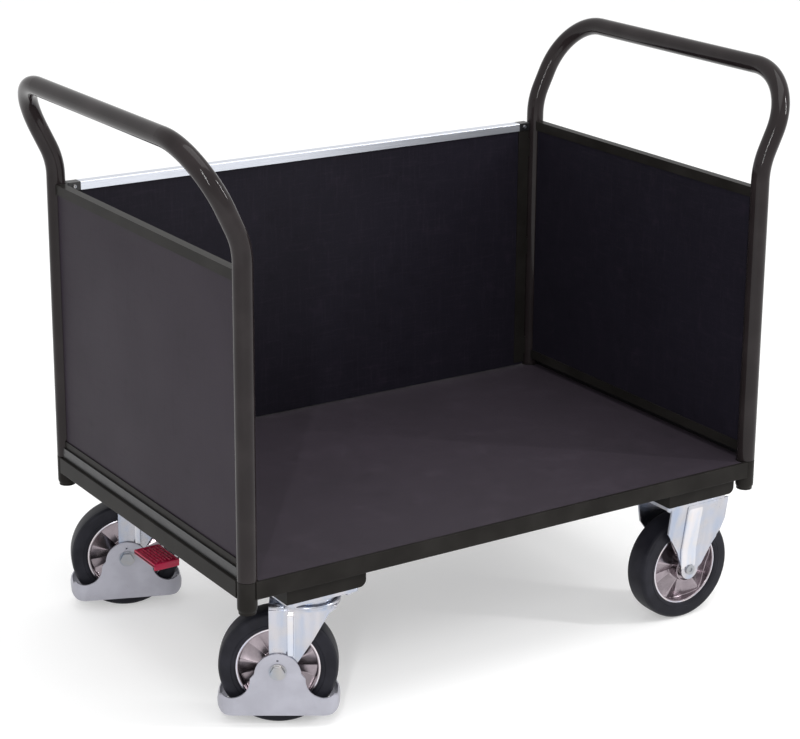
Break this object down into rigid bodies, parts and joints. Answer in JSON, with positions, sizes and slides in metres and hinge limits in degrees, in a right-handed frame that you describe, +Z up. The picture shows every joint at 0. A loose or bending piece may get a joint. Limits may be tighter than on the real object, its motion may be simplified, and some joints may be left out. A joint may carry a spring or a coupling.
{
  "type": "three-walled platform trolley",
  "caption": "Industrial platform trolley with panelled ends and back, two leaning tube handles, two fixed and two swivel casters with foot guards, and a foot brake",
  "frame": {"origin": "on the floor, under the middle of the deck frame, which is within 9 mm of the middle of the bounding box, because the turned back caster reaches a little past the frame", "axes": "+X along the deck from the swivel-caster end to the fixed-caster end, +Y across it towards the back wall (the open side faces -Y), +Z up"},
  "size_m": [1.2208, 0.7241, 1.0203],
  "materials": {
    "frame_paint": "powder coat, satin",
    "board": "film-faced anti-slip board",
    "edge_aluminium": "anodised",
    "cap_plastic": "moulded",
    "zinc": "zinc plated",
    "guard_metal": "silver lacquer",
    "wheel_casting": "die cast",
    "rubber": "elastic solid rubber",
    "bearing_steel": "ground",
    "pedal_plastic": "moulded, ribbed"
  },
  "bodies": {
    "chassis": {"front_rail": "frame_paint", "back_rail": "frame_paint", "left_rail": "frame_paint", "right_rail": "frame_paint", "corner_sockets": "frame_paint", "left_cross_member": "frame_paint", "right_cross_member": "frame_paint", "deck_board": "board", "left_handle_tube": "frame_paint", "left_top_rail": "frame_paint", "left_bottom_rail": "frame_paint", "left_panel": "board", "right_handle_tube": "frame_paint", "right_top_rail": "frame_paint", "right_bottom_rail": "frame_paint", "right_panel": "board", "end_gap_strips": "cap_plastic", "back_panel": "board", "back_edge_profile": "edge_aluminium", "edge_end_caps": "cap_plastic", "cap_screws": "zinc", "left_upright": "frame_paint", "right_upright": "frame_paint", "upright_tabs": "frame_paint", "plate_bolts": "zinc", "plate_nuts": "zinc", "swivel_top_plates": "zinc", "upper_races": "zinc", "kingpins": "zinc", "front_fixed_fork": "zinc", "front_fixed_axle": "zinc", "back_fixed_fork": "zinc", "back_fixed_axle": "zinc", "shaft_brackets": "frame_paint"},
    "front_swivel": {"front_race_balls": "zinc", "front_swivel_fork": "zinc", "front_foot_guard": "guard_metal", "front_swivel_axle": "zinc"},
    "back_swivel": {"back_race_balls": "zinc", "back_swivel_fork": "zinc", "back_foot_guard": "guard_metal", "back_swivel_axle": "zinc"},
    "front_swivel_wheel": {"front_swivel_rim": "wheel_casting", "front_swivel_tyre": "rubber", "front_swivel_bearings": "bearing_steel"},
    "back_swivel_wheel": {"back_swivel_rim": "wheel_casting", "back_swivel_tyre": "rubber", "back_swivel_bearings": "bearing_steel"},
    "front_fixed_wheel": {"front_fixed_rim": "wheel_casting", "front_fixed_tyre": "rubber", "front_fixed_bearings": "bearing_steel"},
    "back_fixed_wheel": {"back_fixed_rim": "wheel_casting", "back_fixed_tyre": "rubber", "back_fixed_bearings": "bearing_steel"},
    "brake": {"brake_shaft": "zinc", "pedal_arm": "zinc", "brake_pedal": "pedal_plastic"},
    "front_plunger": {"front_brake_plunger": "bearing_steel"},
    "back_plunger": {"back_brake_plunger": "bearing_steel"}
  },
  "joints": [
    {"name": "front_swivel_turn", "type": "hinge", "parent": "chassis", "child": "front_swivel", "pos_m": [-0.377, -0.2865, 0.22], "axis": [0, 0, 1], "continuous": true},
    {"name": "back_swivel_turn", "type": "hinge", "parent": "chassis", "child": "back_swivel", "pos_m": [-0.377, 0.2865, 0.22], "axis": [0, 0, 1], "continuous": true},
    {"name": "front_swivel_wheel_roll", "type": "hinge", "parent": "front_swivel", "child": "front_swivel_wheel", "pos_m": [-0.41917, -0.25964, 0.1], "axis": [0.5373, 0.8434, 0], "continuous": true},
    {"name": "back_swivel_wheel_roll", "type": "hinge", "parent": "back_swivel", "child": "back_swivel_wheel", "pos_m": [-0.42352, 0.30483, 0.1], "axis": [0.3665, 0.9304, 0], "continuous": true},
    {"name": "front_fixed_wheel_roll", "type": "hinge", "parent": "chassis", "child": "front_fixed_wheel", "pos_m": [0.41, -0.2865, 0.1], "axis": [0, 1, 0], "continuous": true},
    {"name": "back_fixed_wheel_roll", "type": "hinge", "parent": "chassis", "child": "back_fixed_wheel", "pos_m": [0.41, 0.2865, 0.1], "axis": [0, 1, 0], "continuous": true},
    {"name": "brake_pedal_press", "type": "hinge", "parent": "chassis", "child": "brake", "pos_m": [-0.343, 0, 0.262], "axis": [0, -1, 0], "range_deg": [0, 10]},
    {"name": "front_plunger_drop", "type": "slide", "parent": "chassis", "child": "front_plunger", "axis": [0, 0, -1], "range_m": [0, 0.0061]},
    {"name": "back_plunger_drop", "type": "slide", "parent": "chassis", "child": "back_plunger", "axis": [0, 0, -1], "range_m": [0, 0.0061]}
  ],
  "couplings": [
    {"joint": "front_plunger_drop", "follows": "brake_pedal_press", "m_per_rad": 0.034},
    {"joint": "back_plunger_drop", "follows": "brake_pedal_press", "m_per_rad": 0.034}
  ]
}
